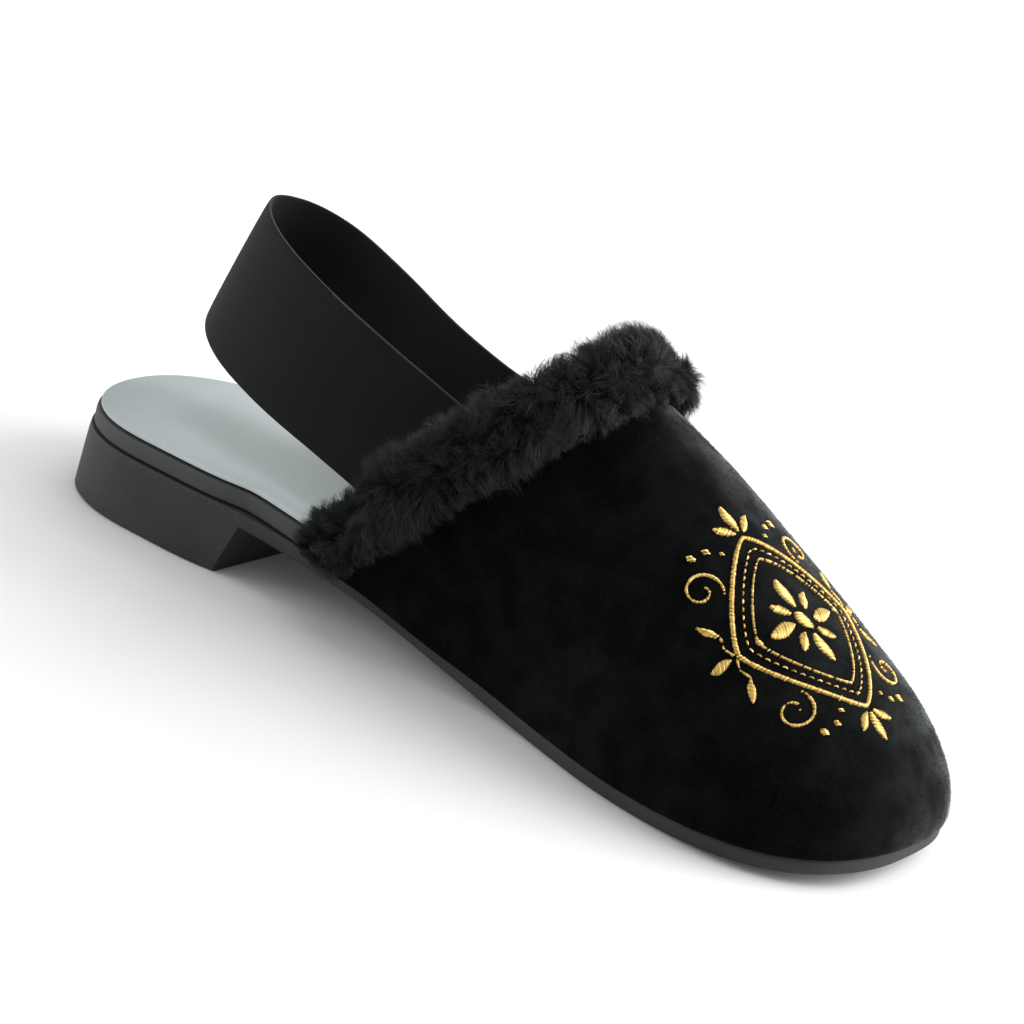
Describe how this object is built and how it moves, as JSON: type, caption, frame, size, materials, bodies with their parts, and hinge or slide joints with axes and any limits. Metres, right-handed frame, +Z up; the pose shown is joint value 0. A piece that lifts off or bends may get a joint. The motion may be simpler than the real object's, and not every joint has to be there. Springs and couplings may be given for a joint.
{
  "type": "slingback mule slipper",
  "caption": "Left-foot slipper: hollow velvet upper open at the back, deep fur cuff round its topline, wide elastic heel strap, grey sock and moulded low-heeled sole",
  "frame": {"origin": "middle of the footprint's bounding box, on the floor", "axes": "+X to the toe, +Y to the lateral side of the left foot, +Z up"},
  "size_m": [0.2456, 0.088, 0.0919],
  "materials": {
    "sole_rubber": "satin moulded rubber, dark grey",
    "footbed_foam": "foam with a covered edge, dark grey",
    "sock": "smooth pale grey lining leather",
    "velvet": "black cotton velvet",
    "fur": "deep black faux fur",
    "elastic": "black woven elastic"
  },
  "bodies": {
    "root": {"outsole": "sole_rubber", "footbed": "footbed_foam", "insole": "sock", "upper": "velvet", "fur_cuff": "fur", "heel_strap": "elastic"}
  },
  "joints": []
}
